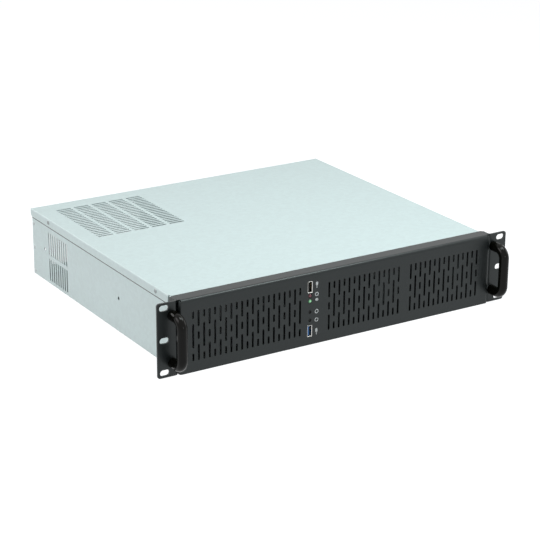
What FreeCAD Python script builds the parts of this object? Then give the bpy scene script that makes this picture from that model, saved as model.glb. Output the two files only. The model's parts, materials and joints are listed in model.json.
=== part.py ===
import FreeCAD, Part
import math
import os

V = FreeCAD.Vector

# Rack standard sizes, millimetres
rack_width = 482.6
rack_slot_inset = 8.75
rack_slot_margin = 5.95
rack_slot_length = 11.6
rack_slot_width = 7.0

# Tray and lid
ear_reach = 27.5
body_depth = 380.0
sheet = 1.0
lid_side_gap = 0.2
bend = 0.5
top_flange = 9.0
lid_height = 86.9
lid_flange = 10.2
lid_rear_lip = 3.0
lid_corner = 3.0
lid_gap = 0.3
upstand = 5.0
edge_gap = 0.2
corner_relief = 4.8

# Front panel
panel_sheet = 1.2
panel_bend = 1.8
lip_bend = 2.8
panel_proud = 3.0
panel_base_gap = 0.3
lip_depth = 15.5
side_depth = 17.0
lip_gap = 0.2

# Slots of the front panel: two column types side by side
slot_pitch = 7.0
slot_width = 2.5
slot_field_low = 13.6
slot_field_drop = 14.1
short_slot = 9.0
slot_bridge = 6.2
left_group_margin = 17.0
right_group_margin = 19.7
group_gap = 17.6
control_left_gap = 13.5
control_right_gap = 26.2

# Control column
control_x = -44.5
usb2_drop = 15.7
usb3_height = 17.3
led_usb_gap = 1.45
control_gap_shares = [0.087, 0.45, 0.242]
usb_width = 5.8
usb_tall = 13.1
usb_depth = 14.0
usb_wall = 0.4
usb_setback = 0.1
usb_cut_gap = 0.5
tongue_thick = 1.9
tongue_tall = 10.6
tongue_setback = 1.2
tongue_offset = 1.0
led_radius = 2.5
led_gap = 0.15
led_proud = 1.0
led_length = 7.0
button_radius = 1.7
button_gap = 0.3
button_setback = 0.4
button_length = 5.4
button_travel = 0.5
switch_clearance = 0.1
switch_size = 6.0
switch_body_depth = 3.5
board_thick = 1.6
board_depth = 23.0
board_lift = 4.2
board_rail_gap = 2.3
board_front = 0.6
board_screw_setback = 4.0
board_low_screw_drop = 6.0
board_high_screw_drop = 4.0
io_foot = 12.0
io_screw_shares = [0.3, 0.8]
io_screw_share_x = 0.6

# Ears and handles
ear_sheet = 2.0
ear_bend = 2.0
ear_corner = 3.0
ear_leg_depth = 18.0
ear_leg_corner = 5.5
ear_lid_gap = 4.5
ear_screw_margin = 26.0
handle_stand = 8.5
handle_margin = 15.9
handle_radius = 6.0
handle_reach = 22.0
handle_bend = 13.0
handle_hole_radius = 2.2

# Vents punched with one slot tool
vent_pitch = 6.1
vent_width = 3.0
top_vent_length = 20.0
top_vent_pitch = 24.4
top_vent_columns = 5
top_vent_rows = 20
top_vent_inset = 32.0
top_vent_reach = 142.0
side_vent_length = 29.2
side_vent_columns = 9
side_vent_reach = 97.2
side_vent_rows = [19.4, 53.5]
rear_vent_margin = 6.0
rear_vent_columns = 24

# Rear panel
rear_flange = 13.0
rear_foot = 10.0
supply_inset = 11.8
supply_width = 141.4
supply_low = 6.5
supply_drop = 11.4
top_web = (9.5, 15.0)
left_foot_web = (14.0, 23.0)
right_foot_web = (12.5, 9.5)
supply_screw_spacing = 138.0
supply_low_screws = [(-1, 16.0), (1, 6.0)]
supply_screw_drop = 5.9
supply_screw_radius = 1.9
connector_width = 158.75
connector_height = 44.45
connector_low = 5.1
connector_inset = 11.7
connector_corner = 0.5
card_pitch = 20.32
first_card_gap = 17.8
card_opening = 13.4
card_margin = 13.0
supply_web = 5.0
pan_right_margin = 4.4
pan_depth = 11.0
pan_low = 3.0
ledge_drop = 5.9
window_drop = 2.0
cover_sheet = 0.9
cover_bend = 0.3
cover_width = 18.4
cover_tab = 10.6
cover_tongue = 12.2
cover_tongue_end = 2.4
cover_shoulder = 7.0
rivet_setback = 4.8
rivet_low = 5.6
rivet_drop = 18.0

# Inside
rail_gap = 0.2
rail_web = 6.4
rail_flange = 12.8
rail_tab = 20.0
cage_inset = 12.2
cage_control_gap = 10.5
cage_front = 6.0
cage_depth = 150.0
cage_drop = 3.0
cage_foot = 8.5
cage_screw_shares = [0.15, 0.85]
cage_screw_share_x = 0.58
side_tab_front = 38.0
side_tab_rear = 50.5
side_tab_low = 40.0
side_tab_height = 12.0
side_screw_y = 45.5
side_screw_height = 46.0
drive_slot_length = 14.0
drive_slot_width = 4.0
drive_slot_margin = 24.0
drive_slot_columns = [30.0, 75.0, 120.0]
fan_wall_front = 29.0
fan_wall_drop = 1.9
fan_wall_foot = 13.0
fan_wall_control_gap = 19.5
fan_wall_inset = 7.8
fan_wall_screw_inset = 12.0
fan_wall_screw_share = 0.6
fan_wall_margin = 2.0
fan_rim = 2.0
fan_corner = 4.25
fan_screw_radius = 2.2
stop_reach = 143.0
stop_width = 60.0
stop_height = 12.0
stop_foot = 14.0
stop_screw_share_x = 0.35
stop_screw_share_y = 0.55
standoff_height = 6.35
standoff_flats = 5.5
standoff_bore = 1.35
standoff_stud = 1.5
standoff_inset = 27.3
standoff_setback = 23.2
standoff_spacing_x = 203.2
standoff_middle_x = 157.48
standoff_spacing_y = 154.94
standoff_front_y = 227.33

# Holes and fasteners
rail_hole_setback = 35.3
rail_hole_spacing = 200.0
rail_hole_height = 42.6
rail_hole_radius = 2.25
lid_screw_front = 51.5
lid_screw_setback = 50.8
lid_screw_drop = 4.7
panel_screw_y = 9.0
panel_screw_drop = 4.9
panel_screw_low = 8.0
screw_radius = 1.4
screw_gap = 0.1
screw_head_radius = 2.7
screw_head_height = 0.9
flat_head_height = 2.0
handle_screw_radius = 2.0
handle_screw_head = 3.2
handle_screw_reach = 10.0
handle_screw_height = 2.5
rivet_radius = 1.6
rivet_head_radius = 2.4
rivet_head_height = 0.7

ear_height = lid_height + panel_sheet
origin_height = ear_height / 2
rack_slot_rise = ear_height - 2 * rack_slot_margin
rack_x = rack_width / 2
wall_x = rack_x - ear_reach
lid_x = wall_x + sheet + lid_side_gap
deck = lid_height - sheet
panel_face = -panel_proud
panel_back = panel_face + panel_sheet
panel_radius = panel_bend + panel_sheet
lip_radius = lip_bend + panel_sheet
lip_top = ear_height
bench = sheet

slot_field_height = lid_height - slot_field_low - slot_field_drop
slot_field_middle = slot_field_low + slot_field_height / 2
long_slot = slot_field_height - 2 * short_slot - 2 * slot_bridge
medium_slot = (slot_field_height - short_slot) / 2 - slot_bridge
left_group_start = -lid_x + left_group_margin
left_group_columns = 1 + round((control_x - control_left_gap - left_group_start) / slot_pitch)
middle_group_start = control_x + control_right_gap
right_group_end = lid_x - right_group_margin
right_columns = 1 + round((right_group_end - middle_group_start - group_gap) / 2 / slot_pitch)
right_group_start = right_group_end - (right_columns - 1) * slot_pitch

usb2_height = lid_height - usb2_drop
red_height = usb2_height - usb_tall / 2 - led_usb_gap - led_radius
control_room = red_height - usb3_height - usb_tall / 2 - 3 * led_radius - 2 * switch_size
green_height = red_height - 2 * led_radius - control_gap_shares[0] * control_room
power_height = green_height - led_radius - switch_size / 2 - control_gap_shares[1] * control_room
reset_height = power_height - switch_size - control_gap_shares[2] * control_room
board_top = deck - rail_web - board_rail_gap

ear_screw_heights = [ear_screw_margin, ear_height / 2, ear_height - ear_screw_margin]
ear_seat = lid_x + ear_sheet
flange_start = ear_leg_depth + ear_lid_gap
handle_x = wall_x + handle_stand
handle_low = handle_margin
handle_high = ear_height - handle_margin
rail_hole_rear = body_depth - rail_hole_setback
lid_screw_places = [lid_screw_front, body_depth - lid_screw_setback]
lid_screw_height = lid_height - lid_screw_drop
panel_screw_high = lid_height - panel_screw_drop

supply_left = -wall_x + supply_inset
supply_right = supply_left + supply_width
supply_middle = (supply_left + supply_right) / 2
supply_high = deck - supply_drop
supply_screw_high = deck - supply_screw_drop
connector_right = wall_x - connector_inset
connector_left = connector_right - connector_width
connector_high = connector_low + connector_height
ledge_height = deck - ledge_drop
window_high = deck - window_drop
first_card = connector_left - first_card_gap
card_room = first_card - card_margin - supply_right - supply_web
card_count = 1 + math.floor(card_room / card_pitch)
card_places = [first_card - index * card_pitch for index in range(card_count)]
pan_left = first_card - (card_count - 1) * card_pitch - card_margin
pan_right = connector_right + pan_right_margin
pan_face = body_depth - pan_depth - sheet
cover_screw_y = body_depth - pan_depth / 2
rear_vent_height = (connector_high + ledge_height) / 2
rear_vent_length = ledge_height - connector_high - 2 * rear_vent_margin
rivet_y = body_depth - rivet_setback
rivet_high = deck - rivet_drop
rivet_heights = [rivet_low, (rivet_low + rivet_high) / 2, rivet_high]

cage_left = -wall_x + cage_inset
cage_right = control_x - cage_control_gap
cage_height = deck - cage_drop
fan_wall_left = control_x + fan_wall_control_gap
fan_wall_right = wall_x - fan_wall_inset
fan_wall_height = deck - fan_wall_drop
fan_size = fan_wall_height - 2 * fan_wall_margin
stop_y = body_depth - stop_reach
standoff_right = wall_x - standoff_inset
standoff_rear = body_depth - standoff_setback
io_plate_x = control_x + usb_width / 2 + board_thick


def box(low, high):
    size = [high[i] - low[i] for i in range(3)]
    return Part.makeBox(size[0], size[1], size[2], V(*low))


def rod(base, axis, radius, length):
    return Part.makeCylinder(radius, length, V(*base), V(*axis))


def mirrored(shape):
    return shape.mirror(V(0, 0, 0), V(1, 0, 0))


def fused(shapes):
    return shapes[0].multiFuse(shapes[1:]).removeSplitter()


def cut_all(shape, tools):
    return shape.cut(Part.makeCompound(tools))


def offset_points(points, distance):
    sides = []
    for first, second in zip(points, points[1:]):
        length = math.hypot(second[0] - first[0], second[1] - first[1])
        sides.append(((second[0] - first[0]) / length, (second[1] - first[1]) / length))
    moved = []
    for index, point in enumerate(points):
        before = sides[max(index - 1, 0)]
        after = sides[min(index, len(sides) - 1)]
        across = (-before[1] - after[1], before[0] + after[0])
        scale = distance / (1 + before[0] * after[0] + before[1] * after[1])
        moved.append((point[0] + across[0] * scale, point[1] + across[1] * scale))
    return moved


def rounded_edges(points, radii, place):
    edges = []
    start = points[0]
    for index in range(1, len(points) - 1):
        corner = points[index]
        before = points[index - 1]
        after = points[index + 1]
        to_before = (before[0] - corner[0], before[1] - corner[1])
        to_after = (after[0] - corner[0], after[1] - corner[1])
        u = [value / math.hypot(*to_before) for value in to_before]
        w = [value / math.hypot(*to_after) for value in to_after]
        half = math.acos(u[0] * w[0] + u[1] * w[1]) / 2
        run = radii[index] / math.tan(half)
        enter = (corner[0] + u[0] * run, corner[1] + u[1] * run)
        leave = (corner[0] + w[0] * run, corner[1] + w[1] * run)
        middle_run = radii[index] / math.sin(half) - radii[index]
        both = (u[0] + w[0], u[1] + w[1])
        size = math.hypot(*both)
        middle = (corner[0] + both[0] / size * middle_run, corner[1] + both[1] / size * middle_run)
        if math.dist(start, enter) > 1e-6:
            edges.append(Part.LineSegment(place(start), place(enter)).toShape())
        edges.append(Part.Arc(place(enter), place(middle), place(leave)).toShape())
        start = leave
    if math.dist(start, points[-1]) > 1e-6:
        edges.append(Part.LineSegment(place(start), place(points[-1])).toShape())
    return edges


def folded(points, thickness, inside_radius, place, run):
    """A sheet folded along points and extruded by run; a thickness over 0 lies to their left."""
    other = offset_points(points, thickness)
    outside_radius = inside_radius + abs(thickness)
    near = [0.0] * len(points)
    far = [0.0] * len(points)
    for index in range(1, len(points) - 1):
        a, b, c = points[index - 1:index + 2]
        turn = (b[0] - a[0]) * (c[1] - b[1]) - (b[1] - a[1]) * (c[0] - b[0])
        near[index], far[index] = inside_radius, outside_radius
        if turn * thickness > 0:
            near[index], far[index] = outside_radius, inside_radius
    edges = rounded_edges(points, near, place)
    edges += rounded_edges(other, far, place)
    edges.append(Part.LineSegment(place(points[0]), place(other[0])).toShape())
    edges.append(Part.LineSegment(place(points[-1]), place(other[-1])).toShape())
    wire = Part.Wire(Part.__sortEdges__(edges))
    return Part.Face(wire).extrude(run)


def across(points, thickness, radius, x0, x1):
    """Folds seen from the side, in Y and Z, running from x0 to x1."""
    return folded(points, thickness, radius, lambda p: V(x0, p[0], p[1]), V(x1 - x0, 0, 0))


def along(points, thickness, radius, y0, y1):
    """Folds seen from the front, in X and Z, running from y0 to y1."""
    return folded(points, thickness, radius, lambda p: V(p[0], y0, p[1]), V(0, y1 - y0, 0))


def upright(points, thickness, radius, z0, z1):
    """Folds seen from above, in X and Y, running from z0 to z1."""
    return folded(points, thickness, radius, lambda p: V(p[0], p[1], z0), V(0, 0, z1 - z0))


def slot(centre, length, width, long_axis, through_axis, depth):
    """A round-ended slot cutter, centred, along one axis and through another."""
    middle = V(*centre)
    reach = V(*long_axis) * ((length - width) / 2)
    through = V(*through_axis)
    side = V(*long_axis).cross(through) * (width / 2)
    end = V(*long_axis) * (width / 2)
    start = middle - through * (depth / 2)
    a = start - reach + side
    b = start + reach + side
    c = start + reach - side
    d = start - reach - side
    edges = [Part.LineSegment(a, b).toShape(), Part.Arc(b, start + reach + end, c).toShape()]
    edges += [Part.LineSegment(c, d).toShape(), Part.Arc(d, start - reach - end, a).toShape()]
    return Part.Face(Part.Wire(edges)).extrude(through * depth)


def punch(centre, length, width, long_axis, through_axis, depth):
    """A square-ended slot cutter, centred, along one axis and through another."""
    long_index = [abs(value) for value in long_axis].index(1)
    through_index = [abs(value) for value in through_axis].index(1)
    half = [width / 2] * 3
    half[long_index] = length / 2
    half[through_index] = depth / 2
    low = [centre[i] - half[i] for i in range(3)]
    high = [centre[i] + half[i] for i in range(3)]
    return box(low, high)


def pan_screw(seat, axis, reach, head_radius=screw_head_radius, radius=screw_radius, head=flat_head_height):
    """A screw whose head stands on seat, its shank running reach against axis."""
    out = V(*axis)
    start = V(*seat)
    rim = min(head * 0.45, head_radius * 0.3)
    top = Part.makeCylinder(head_radius, head, start, out)
    top = top.makeChamfer(rim, [edge for edge in top.Edges if on_plane(edge, start + out * head, out)])
    shank = Part.makeCylinder(radius, reach, start - out * reach, out)
    return fused([top, shank])


def on_plane(edge, point, normal):
    gap = (edge.BoundBox.Center - point).dot(normal)
    return edge.Curve.TypeId == "Part::GeomCircle" and abs(gap) < 1e-6


def slot_columns():
    """Each column's middle and its three slots, long and short columns by turns."""
    ends = slot_field_height / 2
    outer = [(ends - short_slot / 2, short_slot), (0.0, long_slot), (short_slot / 2 - ends, short_slot)]
    inner = [(ends - medium_slot / 2, medium_slot), (0.0, short_slot), (medium_slot / 2 - ends, medium_slot)]
    for start, count, first in (
        (left_group_start, left_group_columns, 0),
        (middle_group_start, right_columns, 1),
        (right_group_start, right_columns, 1),
    ):
        for column in range(count):
            kind = outer if (column + first) % 2 == 0 else inner
            for rise, length in kind:
                yield start + column * slot_pitch, slot_field_middle + rise, length


def chassis_base():
    tray = along(
        [(-wall_x + top_flange, deck), (-wall_x, deck), (-wall_x, 0), (wall_x, 0),
         (wall_x, deck), (wall_x - top_flange, deck)],
        sheet, bend, lid_gap, body_depth - bend - edge_gap)
    front_x = wall_x - corner_relief
    tray = tray.cut(box((-front_x, -1, -1), (front_x, panel_proud, sheet + 1)))
    lift = across([(panel_back, upstand), (panel_back, 0), (panel_proud, 0)], sheet, bend, -front_x, front_x)
    clear = box((-wall_x + sheet, -1, deck - sheet - bend), (wall_x - sheet, rail_flange + lid_gap, deck + 1))
    tray = fused([tray.cut(clear), lift])
    tools = []
    for y in lid_screw_places:
        tools.append(rod((-rack_x, y, lid_screw_height), (1, 0, 0), screw_radius + screw_gap, rack_width))
    for z in (panel_screw_low, panel_screw_high):
        tools.append(rod((-rack_x, panel_screw_y, z), (1, 0, 0), screw_radius + screw_gap, rack_width))
    for z in ear_screw_heights:
        tools.append(rod((-rack_x, panel_screw_y, z), (1, 0, 0), screw_radius + screw_gap, rack_width))
    tools.append(rod((-rack_x, side_screw_y, side_screw_height), (1, 0, 0), screw_radius + screw_gap, rack_width))
    for y in (rail_hole_rear - rail_hole_spacing, rail_hole_rear):
        tools.append(rod((-rack_x, y, rail_hole_height), (1, 0, 0), rail_hole_radius, rack_width))
    for z in rivet_heights:
        tools.append(rod((-rack_x, rivet_y, z), (1, 0, 0), rivet_radius + screw_gap, rack_width))
    for column in range(side_vent_columns):
        for z in side_vent_rows:
            place = (-wall_x, body_depth - side_vent_reach + column * vent_pitch, z)
            tools.append(punch(place, side_vent_length, vent_width, (0, 0, 1), (1, 0, 0), 4 * sheet))
    for x, y in floor_screw_places() + standoff_places():
        tools.append(rod((x, y, -1), (0, 0, 1), screw_radius + screw_gap + screw_gap, sheet + 2))
    return cut_all(tray, tools)


def cage_screw_places():
    rows = [cage_front + cage_depth * share for share in cage_screw_shares]
    reach = cage_foot * cage_screw_share_x
    return [(x, y) for x in (cage_left - reach, cage_right + reach) for y in rows]


def fan_screw_places():
    y = fan_wall_front + fan_wall_foot * fan_wall_screw_share
    left = fan_wall_left + fan_wall_screw_inset
    right = fan_wall_right - fan_wall_screw_inset
    return [(left, y), ((left + right) / 2, y), (right, y)]


def stop_screw_places():
    y = stop_y - stop_foot * stop_screw_share_y
    return [(supply_middle + side * stop_width * stop_screw_share_x, y) for side in (-1, 1)]


def io_screw_places():
    x = io_plate_x + io_foot * io_screw_share_x
    return [(x, board_front + board_depth * share) for share in io_screw_shares]


def floor_screw_places():
    return cage_screw_places() + fan_screw_places() + stop_screw_places() + io_screw_places()


def standoff_places():
    rows = []
    for drop_y in (0.0, standoff_spacing_y):
        for drop_x in (0.0, standoff_middle_x, standoff_spacing_x):
            rows.append((standoff_right - drop_x, standoff_rear - drop_y))
    for drop_x in (0.0, standoff_middle_x):
        rows.append((standoff_right - drop_x, standoff_rear - standoff_front_y))
    return rows


def top_cover():
    rear = body_depth + sheet
    low = lid_height - lid_flange
    lid = along([(lid_x, low), (lid_x, lid_height), (-lid_x, lid_height), (-lid_x, low)],
                sheet, bend, flange_start, rear)
    inner_x = lid_x - sheet - bend
    lid = lid.cut(box((-inner_x, body_depth - bend, 0), (inner_x, rear + 1, lid_height + 1)))
    rim = across([(flange_start, lid_height), (rear, lid_height), (rear, lid_height - sheet - lid_rear_lip)],
                 -sheet, bend, -inner_x + lid_gap, inner_x - lid_gap)
    feet = [edge for edge in lid.Edges
            if abs(edge.BoundBox.XLength - sheet) < 1e-6 and edge.BoundBox.ZLength < 1e-6
            and edge.BoundBox.YLength < 1e-6 and abs(edge.BoundBox.Center.z - low) < 1e-6]
    lid = lid.makeChamfer(lid_corner, feet)
    front_x = wall_x - lid_gap
    front = box((-front_x, panel_face + lip_radius + lid_gap, deck), (front_x, flange_start + sheet, lid_height))
    lid = fused([lid, rim, front])
    tools = []
    for column in range(top_vent_columns):
        for row in range(top_vent_rows):
            x = -wall_x + top_vent_inset + column * top_vent_pitch
            place = (x, body_depth - top_vent_reach + row * vent_pitch, deck)
            tools.append(punch(place, top_vent_length, vent_width, (1, 0, 0), (0, 0, 1), 4 * sheet))
    for y in lid_screw_places:
        tools.append(rod((-rack_x, y, lid_screw_height), (1, 0, 0), screw_radius + screw_gap, rack_width))
    return cut_all(lid, tools)


def usb_cutter(height):
    half_x = usb_width / 2 + usb_cut_gap
    half_z = usb_tall / 2 + usb_cut_gap
    return box((control_x - half_x, panel_face - 1, height - half_z),
               (control_x + half_x, panel_back + 1, height + half_z))


def front_panel():
    shoulder = lip_top - lip_radius
    plan = [(-lid_x, side_depth), (-lid_x, panel_face), (lid_x, panel_face), (lid_x, side_depth)]
    face = upright(plan, panel_sheet, panel_bend, panel_base_gap, shoulder)
    lip_x = lid_x - panel_radius
    lip = across([(panel_face, shoulder - 1), (panel_face, lip_top), (lip_depth, lip_top)],
                 -panel_sheet, lip_bend, -lip_x, lip_x)
    wing = box((-lid_x, panel_face + lip_radius, lid_height), (lid_x, lip_depth, lip_top))
    slit_x = lip_x + lip_gap
    sides = upright(plan, panel_sheet, panel_bend, shoulder, lid_height - lip_gap)
    sides = sides.cut(box((-slit_x, panel_face - 1, shoulder), (slit_x, side_depth, lip_top)))
    panel = fused([face, lip, wing, sides])
    tools = [slot((x, panel_face, z), length, slot_width, (0, 0, 1), (0, 1, 0), 4 * panel_sheet)
             for x, z, length in slot_columns()]
    for height in (usb2_height, usb3_height):
        tools.append(usb_cutter(height))
    for height, radius in (
        (red_height, led_radius + led_gap),
        (green_height, led_radius + led_gap),
        (power_height, button_radius + button_gap),
        (reset_height, button_radius + button_gap),
    ):
        tools.append(rod((control_x, panel_face - 1, height), (0, 1, 0), radius, panel_sheet + 2))
    for z in [panel_screw_low, panel_screw_high] + ear_screw_heights:
        tools.append(rod((-rack_x, panel_screw_y, z), (1, 0, 0), screw_radius + screw_gap, rack_width))
    return cut_all(panel, tools)


def right_ear_bracket():
    ear = upright([(rack_x, 0), (lid_x, 0), (lid_x, ear_leg_depth)], -ear_sheet, ear_bend, 0, ear_height)
    corners = [edge for edge in ear.Edges
               if abs(edge.BoundBox.YLength - ear_sheet) < 1e-6 and edge.BoundBox.Center.x > rack_x - 1]
    ear = ear.makeFillet(ear_corner, corners)
    ends = [edge for edge in ear.Edges
            if abs(edge.BoundBox.XLength - ear_sheet) < 1e-6
            and abs(edge.BoundBox.Center.y - ear_leg_depth) < 1e-6]
    ear = ear.makeFillet(ear_leg_corner, ends)
    tools = []
    for z in (origin_height - rack_slot_rise / 2, origin_height, origin_height + rack_slot_rise / 2):
        place = (rack_x - rack_slot_inset, ear_sheet / 2, z)
        tools.append(slot(place, rack_slot_length, rack_slot_width, (1, 0, 0), (0, 1, 0), 2 * ear_sheet))
    for z in (handle_low, handle_high):
        tools.append(rod((handle_x, -1, z), (0, 1, 0), handle_hole_radius, ear_sheet + 2))
    for z in [panel_screw_low, panel_screw_high] + ear_screw_heights:
        tools.append(rod((0, panel_screw_y, z), (1, 0, 0), screw_radius + screw_gap, rack_x))
    return cut_all(ear, tools)


def right_handle():
    low = V(handle_x, 0, handle_low)
    high = V(handle_x, 0, handle_high)
    out = V(0, -1, 0)
    up = V(0, 0, 1)
    stem = out * (handle_reach - handle_bend)
    turn = out * (handle_bend * math.sin(math.pi / 4))
    rise = up * (handle_bend * (1 - math.cos(math.pi / 4)))
    low_mid = low + stem + turn + rise
    high_mid = high + stem + turn - rise
    low_end = low + out * handle_reach + up * handle_bend
    high_end = high + out * handle_reach - up * handle_bend
    path = Part.Wire([
        Part.LineSegment(low, low + stem).toShape(),
        Part.Arc(low + stem, low_mid, low_end).toShape(),
        Part.LineSegment(low_end, high_end).toShape(),
        Part.Arc(high_end, high_mid, high + stem).toShape(),
        Part.LineSegment(high + stem, high).toShape(),
    ])
    section = Part.Wire([Part.makeCircle(handle_radius, low, out)])
    bar = path.makePipeShell([section], True, True)
    bores = [rod((handle_x, 1, z), (0, -1, 0), handle_screw_radius + screw_gap, handle_screw_reach)
             for z in (handle_low, handle_high)]
    return cut_all(bar, bores)


def rear_panel():
    inner_x = wall_x - sheet
    rear = body_depth
    fold_y = rear - rear_flange
    web = upright([(-inner_x, fold_y), (-inner_x, rear), (inner_x, rear), (inner_x, fold_y)],
                  -sheet, bend, bench + bend + edge_gap, deck - sheet - bend - edge_gap)
    cap_x = wall_x - top_flange - lid_gap
    cap = across([(rear, deck - 5), (rear, deck), (fold_y, deck)], sheet, bend, -cap_x, cap_x)
    foot_x = inner_x - corner_relief
    foot = across([(rear - rear_foot, bench), (rear, bench), (rear, bench + 5)], sheet, bend, -foot_x, foot_x)
    front = pan_face
    window = box((pan_left, rear - 2 * sheet, pan_low), (pan_right, rear + 1, window_high))
    pan = across([(rear, pan_low), (front, pan_low), (front, ledge_height), (rear, ledge_height)],
                 -sheet, bend, pan_left, pan_right)
    sides = [box((x, front + bend + sheet, pan_low), (x + sheet, rear, ledge_height))
             for x in (pan_left, pan_right - sheet)]
    panel = fused([fused([web, cap, foot]).cut(window), pan] + sides)
    tools = [supply_cutter()]
    for side, z in supply_low_screws + [(-1, supply_screw_high), (1, supply_screw_high)]:
        x = supply_middle + side * supply_screw_spacing / 2
        tools.append(rod((x, rear - 2, z), (0, 1, 0), supply_screw_radius, 4))
    aperture = box((connector_left, front - 1, connector_low),
                   (connector_right, front + 2 * sheet, connector_high))
    corners = [edge for edge in aperture.Edges if edge.BoundBox.YLength > sheet]
    tools.append(aperture.makeFillet(connector_corner, corners))
    middle = (connector_left + connector_right) / 2
    for column in range(rear_vent_columns):
        place = (middle + (column - (rear_vent_columns - 1) / 2) * vent_pitch, front, rear_vent_height)
        tools.append(punch(place, rear_vent_length, vent_width, (0, 0, 1), (0, 1, 0), 4 * sheet))
    for x in card_places:
        half = card_opening / 2
        tools.append(box((x - half, front - 1, pan_low + 2 * sheet),
                         (x + half, front + 2 * sheet, ledge_height - 3 * sheet)))
        tools.append(rod((x, cover_screw_y, ledge_height - 2), (0, 0, 1), screw_radius + screw_gap, 4))
    for z in rivet_heights:
        tools.append(rod((-rack_x, rivet_y, z), (1, 0, 0), rivet_radius + screw_gap, rack_width))
    return cut_all(panel, tools)


def supply_cutter():
    """The power supply aperture, its corners left as webs for the supply's screws."""
    left, right = supply_left, supply_right
    low, high = supply_low, supply_high
    points = [
        (left, low + left_foot_web[1]), (left, high - top_web[1]), (left + top_web[0], high),
        (right - top_web[0], high), (right, high - top_web[1]), (right, low + right_foot_web[1]),
        (right - right_foot_web[0], low), (left + left_foot_web[0], low),
    ]
    ring = [V(x, body_depth - 2 * sheet, z) for x, z in points + points[:1]]
    return Part.Face(Part.makePolygon(ring)).extrude(V(0, 4 * sheet, 0))


def slot_cover(x):
    back = pan_face
    face = back - cover_sheet
    half = cover_width / 2
    top = ledge_height + cover_sheet
    plate = across([(face, cover_shoulder), (face, top), (face + cover_tab, top)],
                   -cover_sheet, cover_bend, x - half, x + half)
    tongue = box((x - cover_tongue / 2, face, cover_tongue_end),
                 (x + cover_tongue / 2, back, cover_shoulder + 1))
    hole = rod((x, cover_screw_y, ledge_height - 1), (0, 0, 1), screw_radius + screw_gap, 3)
    return fused([plate, tongue]).cut(hole)


def front_rail():
    side_x = wall_x - sheet
    low = deck - rail_web
    face = panel_back + rail_gap
    band = upright([(side_x, rail_tab), (side_x, face), (-side_x, face), (-side_x, rail_tab)],
                   -sheet, bend, low, deck - sheet - bend - edge_gap)
    flange_x = side_x - corner_relief + sheet
    flange = across([(face, low), (face, deck), (rail_flange, deck)],
                    -sheet, bend, -flange_x, flange_x)
    holes = [rod((-rack_x, panel_screw_y, panel_screw_high), (1, 0, 0), screw_radius + screw_gap, rack_width)]
    return cut_all(fused([band, flange]), holes)


def side_tab(start_x, front):
    """A strap from a wall at start_x out to the tray's side, folded back along it for a screw."""
    side = math.copysign(wall_x - sheet, start_x)
    return upright([(start_x, front), (side, front), (side, side_tab_rear)],
                   math.copysign(sheet, start_x), bend, side_tab_low, side_tab_low + side_tab_height)


def side_screw_bore(start_x, way):
    return rod((start_x, side_screw_y, side_screw_height), (way, 0, 0), screw_radius + screw_gap, ear_reach)


def drive_cage():
    y0 = cage_front
    y1 = cage_front + cage_depth
    left_foot = cage_left - cage_foot
    right_foot = cage_right + cage_foot
    cage = along([(left_foot, bench), (cage_left, bench), (cage_left, cage_height),
                  (cage_right, cage_height), (cage_right, bench), (right_foot, bench)],
                 sheet, bend, y0, y1)
    cage = fused([cage, side_tab(cage_left, side_tab_front)])
    tools = [side_screw_bore(cage_left, -1)]
    for y in drive_slot_columns:
        for z in (drive_slot_margin, cage_height - drive_slot_margin):
            for x in (cage_left, cage_right):
                tools.append(slot((x, y0 + y, z), drive_slot_length, drive_slot_width,
                                  (0, 1, 0), (1, 0, 0), 4 * sheet))
    for x, y in cage_screw_places():
        tools.append(rod((x, y, 0), (0, 0, 1), screw_radius + screw_gap, 4))
    return cut_all(cage, tools)


def group_middle(start, columns):
    return start + (columns - 1) * slot_pitch / 2


def fan_middles():
    return [group_middle(start, right_columns) for start in (middle_group_start, right_group_start)]


def fan_bracket():
    y = fan_wall_front
    low = bench + sheet
    high = fan_wall_height - sheet
    wall = across([(y + fan_wall_foot, low), (y + sheet, low), (y + sheet, high), (y + fan_wall_foot, high)],
                  sheet, bend, fan_wall_left, fan_wall_right)
    tools = []
    half = fan_size / 2 - fan_corner
    for x in fan_middles():
        tools.append(rod((x, y - 1, slot_field_middle), (0, 1, 0), fan_size / 2 - fan_rim, sheet + 2))
        for side_x in (-half, half):
            for side_z in (-half, half):
                place = (x + side_x, y - 1, slot_field_middle + side_z)
                tools.append(rod(place, (0, 1, 0), fan_screw_radius, sheet + 2))
    for x, screw_y in fan_screw_places():
        tools.append(rod((x, screw_y, 0), (0, 0, 1), screw_radius + screw_gap, 4))
    wall = fused([wall, side_tab(fan_wall_right - sheet, fan_wall_front)])
    tools.append(side_screw_bore(fan_wall_right, 1))
    return cut_all(wall, tools)


def power_supply_stop():
    stop = across([(stop_y - stop_foot, bench), (stop_y, bench), (stop_y, bench + stop_height)],
                  sheet, bend, supply_middle - stop_width / 2, supply_middle + stop_width / 2)
    holes = [rod((x, y, 0), (0, 0, 1), screw_radius + screw_gap, 4) for x, y in stop_screw_places()]
    return cut_all(stop, holes)


def io_bracket():
    x = io_plate_x
    plate = along([(x, board_top + 1), (x, bench), (x + io_foot, bench)],
                  sheet, bend, board_front + 1, board_front + board_depth)
    tools = [rod((hole_x, y, 0), (0, 0, 1), screw_radius + screw_gap, 4) for hole_x, y in io_screw_places()]
    for y, z in board_screw_places():
        tools.append(rod((x - 1, y, z), (1, 0, 0), screw_radius + screw_gap, 4))
    return cut_all(plate, tools)


def board_screw_places():
    y = board_front + board_depth - board_screw_setback
    return [(y, reset_height - board_low_screw_drop), (y, red_height - board_high_screw_drop)]


def io_board():
    x = control_x + usb_width / 2
    board = box((x, board_front, board_lift), (x + board_thick, board_front + board_depth, board_top))
    holes = [rod((x - 1, y, z), (1, 0, 0), screw_radius + screw_gap, 4) for y, z in board_screw_places()]
    return cut_all(board, holes)


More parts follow.
